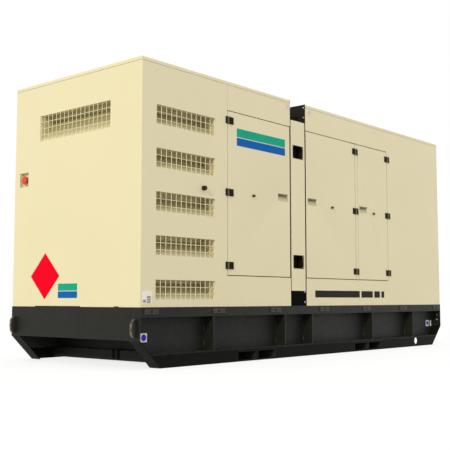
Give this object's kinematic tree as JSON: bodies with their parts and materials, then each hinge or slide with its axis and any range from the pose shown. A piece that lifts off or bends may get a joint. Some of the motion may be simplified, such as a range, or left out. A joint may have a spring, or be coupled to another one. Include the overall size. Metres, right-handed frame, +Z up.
{
  "type": "sound-proofed diesel generator set",
  "caption": "Sound-proofed diesel generator set: two-module canopy with air grilles and hinged doors on a steel base frame with fork pockets and a fuel tank.",
  "frame": {"origin": "on the floor, at the centre of the base frame's outline", "axes": "+X along the length from the air-inlet end to the outlet end, -Y towards the front with the three working doors, +Z up"},
  "size_m": [5.361, 1.818, 2.581],
  "materials": {
    "canopy_paint": "semi-gloss powder coat, fine orange peel",
    "base_black": "semi-matt black paint",
    "clip_grey": "semi-matt dark grey",
    "stop_red": "gloss",
    "fittings_black": "satin black",
    "engine_paint": "semi-gloss engine enamel",
    "radiator_black": "matt black"
  },
  "bodies": {
    "housing": {"rail_bands": "base_black", "rail_webs": "base_black", "rail_ledges": "base_black", "rail_skirts": "base_black", "rail_ribs": "base_black", "rail_end_strips": "base_black", "end_beams": "base_black", "cross_beams": "base_black", "fuel_tank": "base_black", "fork_tubes": "base_black", "deck": "base_black", "canopy_clips": "clip_grey", "end_wall_inlet": "canopy_paint", "end_wall_outlet": "canopy_paint", "grille_wall_front": "canopy_paint", "grille_wall_rear": "canopy_paint", "door_frame_inlet_front": "canopy_paint", "door_frame_inlet_rear": "canopy_paint", "door_frame_outlet_front": "canopy_paint", "door_frame_outlet_rear": "canopy_paint", "plain_wall_front": "canopy_paint", "plain_wall_rear": "canopy_paint", "bulkhead_inlet": "base_black", "bulkhead_outlet": "base_black", "link_tunnel": "base_black", "lift_posts": "base_black", "cover_strips": "canopy_paint", "roof_inlet": "canopy_paint", "roof_outlet": "canopy_paint", "side_screens": "canopy_paint", "end_screens": "canopy_paint", "intake_baffles": "canopy_paint", "emergency_stop": "stop_red", "wall_locks": "fittings_black", "hinges_frame": "fittings_black", "rear_doors": "canopy_paint", "rear_fittings": "fittings_black", "alternator": "engine_paint", "engine_block": "engine_paint", "cylinder_banks": "engine_paint", "radiator": "radiator_black"},
    "door_control": {"door_control": "canopy_paint", "fittings_control": "fittings_black"},
    "door_engine": {"door_engine": "canopy_paint", "fittings_engine": "fittings_black"},
    "door_service": {"door_service": "canopy_paint", "fittings_service": "fittings_black"}
  },
  "joints": [
    {"name": "control_door_swing", "type": "hinge", "parent": "housing", "child": "door_control", "pos_m": [-1.5465, -0.885, 1.5435], "axis": [0, 0, -1], "range_deg": [0, 100]},
    {"name": "engine_door_swing", "type": "hinge", "parent": "housing", "child": "door_engine", "pos_m": [0.6345, -0.885, 1.5435], "axis": [0, 0, 1], "range_deg": [0, 100]},
    {"name": "service_door_swing", "type": "hinge", "parent": "housing", "child": "door_service", "pos_m": [1.3355, -0.885, 1.5435], "axis": [0, 0, 1], "range_deg": [0, 100]}
  ]
}
